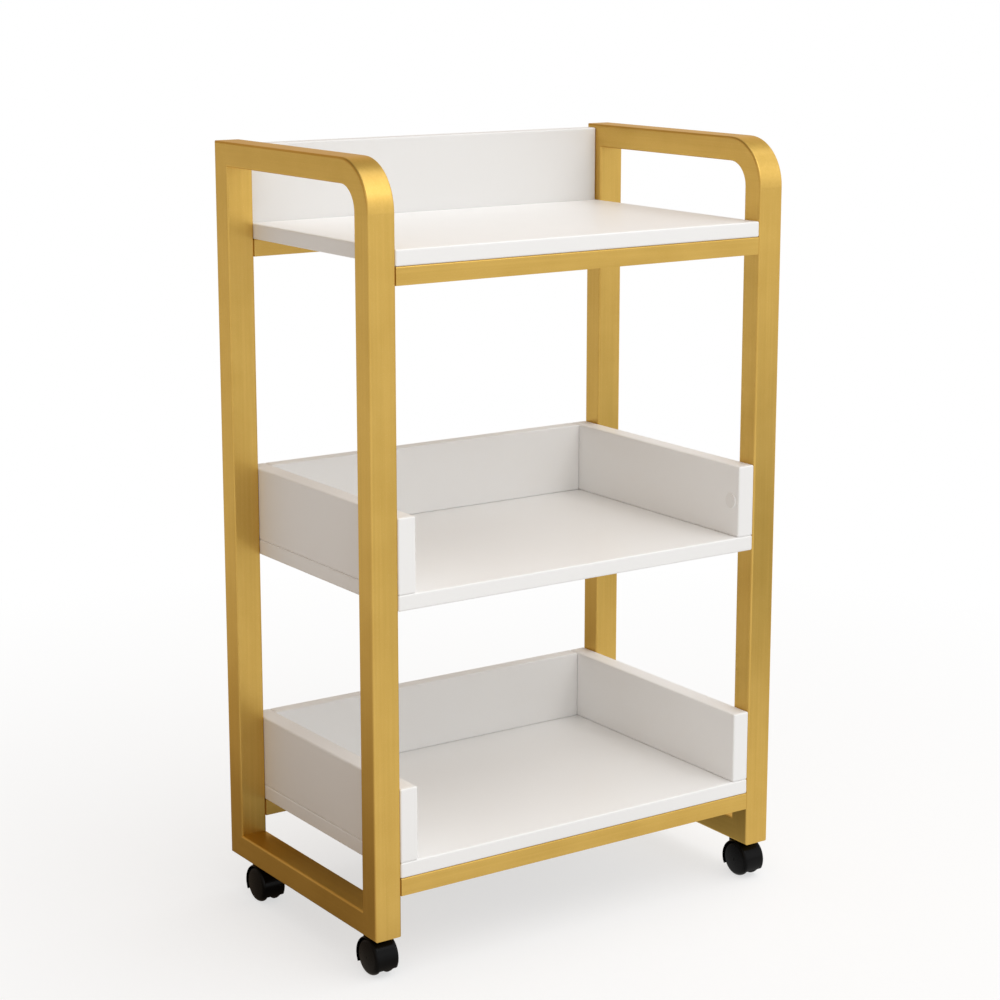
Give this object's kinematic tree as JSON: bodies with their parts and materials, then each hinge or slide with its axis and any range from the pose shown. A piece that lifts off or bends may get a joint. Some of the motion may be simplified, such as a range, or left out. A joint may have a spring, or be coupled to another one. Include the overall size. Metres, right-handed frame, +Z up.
{
  "type": "trolley cart",
  "caption": "Tall slim three-tier trolley: closed tube side frames with bent front corners, open white shelf and trays, small twin-wheel swivel casters.",
  "frame": {"origin": "on the floor, under the middle of the cart", "axes": "+X to the user's right as they face the open front, +Y to the back panels, -Y the open front, +Z up"},
  "size_m": [0.5, 0.3, 0.805],
  "materials": {
    "gold_tube": "satin metallic gold paint, fine metallic sparkle",
    "white_board": "satin white melamine on board, with matching edge banding",
    "white_cap": "satin moulded plastic",
    "black_hood": "glossy moulded nylon",
    "black_wheel": "moulded nylon, glossy cheeks and a slightly worn tread",
    "zinc_steel": "bright zinc plate"
  },
  "bodies": {
    "cart": {"bent_rail_left": "gold_tube", "bent_rail_right": "gold_tube", "rear_post_left": "gold_tube", "rear_post_right": "gold_tube", "bottom_rail_left": "gold_tube", "bottom_rail_right": "gold_tube", "top_crossbar_front": "gold_tube", "top_crossbar_rear": "gold_tube", "bottom_crossbar_front": "gold_tube", "bottom_crossbar_rear": "gold_tube", "crossbar_end_plates": "gold_tube", "crossbar_screws": "zinc_steel", "rivet_nuts": "zinc_steel", "top_board": "white_board", "top_back_panel": "white_board", "middle_board": "white_board", "middle_panel_left": "white_board", "middle_panel_right": "white_board", "middle_panel_back": "white_board", "bottom_board": "white_board", "bottom_panel_left": "white_board", "bottom_panel_right": "white_board", "bottom_panel_back": "white_board", "tray_bolts": "zinc_steel", "tray_bolt_caps": "white_cap", "shelf_screws": "zinc_steel", "tray_panel_screws": "zinc_steel", "back_panel_screws": "zinc_steel", "back_panel_caps": "white_cap", "caster_sockets": "zinc_steel", "caster_stem_front_left": "zinc_steel", "caster_stem_front_right": "zinc_steel", "caster_stem_rear_left": "zinc_steel", "caster_stem_rear_right": "zinc_steel"},
    "caster_front_left": {"caster_hood_front_left": "black_hood", "caster_axle_front_left": "zinc_steel"},
    "wheel_outer_front_left": {"wheel_outer_front_left": "black_wheel"},
    "wheel_inner_front_left": {"wheel_inner_front_left": "black_wheel"},
    "caster_front_right": {"caster_hood_front_right": "black_hood", "caster_axle_front_right": "zinc_steel"},
    "wheel_outer_front_right": {"wheel_outer_front_right": "black_wheel"},
    "wheel_inner_front_right": {"wheel_inner_front_right": "black_wheel"},
    "caster_rear_left": {"caster_hood_rear_left": "black_hood", "caster_axle_rear_left": "zinc_steel"},
    "wheel_outer_rear_left": {"wheel_outer_rear_left": "black_wheel"},
    "wheel_inner_rear_left": {"wheel_inner_rear_left": "black_wheel"},
    "caster_rear_right": {"caster_hood_rear_right": "black_hood", "caster_axle_rear_right": "zinc_steel"},
    "wheel_outer_rear_right": {"wheel_outer_rear_right": "black_wheel"},
    "wheel_inner_rear_right": {"wheel_inner_rear_right": "black_wheel"}
  },
  "joints": [
    {"name": "swivel_front_left", "type": "hinge", "parent": "cart", "child": "caster_front_left", "pos_m": [-0.235, -0.115, 0.042], "axis": [0, 0, 1], "continuous": true},
    {"name": "spin_outer_front_left", "type": "hinge", "parent": "caster_front_left", "child": "wheel_outer_front_left", "pos_m": [-0.235, -0.128, 0.019], "axis": [1, 0, 0], "continuous": true},
    {"name": "spin_inner_front_left", "type": "hinge", "parent": "caster_front_left", "child": "wheel_inner_front_left", "pos_m": [-0.235, -0.128, 0.019], "axis": [1, 0, 0], "continuous": true},
    {"name": "swivel_front_right", "type": "hinge", "parent": "cart", "child": "caster_front_right", "pos_m": [0.235, -0.115, 0.042], "axis": [0, 0, 1], "continuous": true},
    {"name": "spin_outer_front_right", "type": "hinge", "parent": "caster_front_right", "child": "wheel_outer_front_right", "pos_m": [0.235, -0.128, 0.019], "axis": [1, 0, 0], "continuous": true},
    {"name": "spin_inner_front_right", "type": "hinge", "parent": "caster_front_right", "child": "wheel_inner_front_right", "pos_m": [0.235, -0.128, 0.019], "axis": [1, 0, 0], "continuous": true},
    {"name": "swivel_rear_left", "type": "hinge", "parent": "cart", "child": "caster_rear_left", "pos_m": [-0.235, 0.115, 0.042], "axis": [0, 0, 1], "continuous": true},
    {"name": "spin_outer_rear_left", "type": "hinge", "parent": "caster_rear_left", "child": "wheel_outer_rear_left", "pos_m": [-0.235, 0.102, 0.019], "axis": [1, 0, 0], "continuous": true},
    {"name": "spin_inner_rear_left", "type": "hinge", "parent": "caster_rear_left", "child": "wheel_inner_rear_left", "pos_m": [-0.235, 0.102, 0.019], "axis": [1, 0, 0], "continuous": true},
    {"name": "swivel_rear_right", "type": "hinge", "parent": "cart", "child": "caster_rear_right", "pos_m": [0.235, 0.115, 0.042], "axis": [0, 0, 1], "continuous": true},
    {"name": "spin_outer_rear_right", "type": "hinge", "parent": "caster_rear_right", "child": "wheel_outer_rear_right", "pos_m": [0.235, 0.102, 0.019], "axis": [1, 0, 0], "continuous": true},
    {"name": "spin_inner_rear_right", "type": "hinge", "parent": "caster_rear_right", "child": "wheel_inner_rear_right", "pos_m": [0.235, 0.102, 0.019], "axis": [1, 0, 0], "continuous": true}
  ]
}
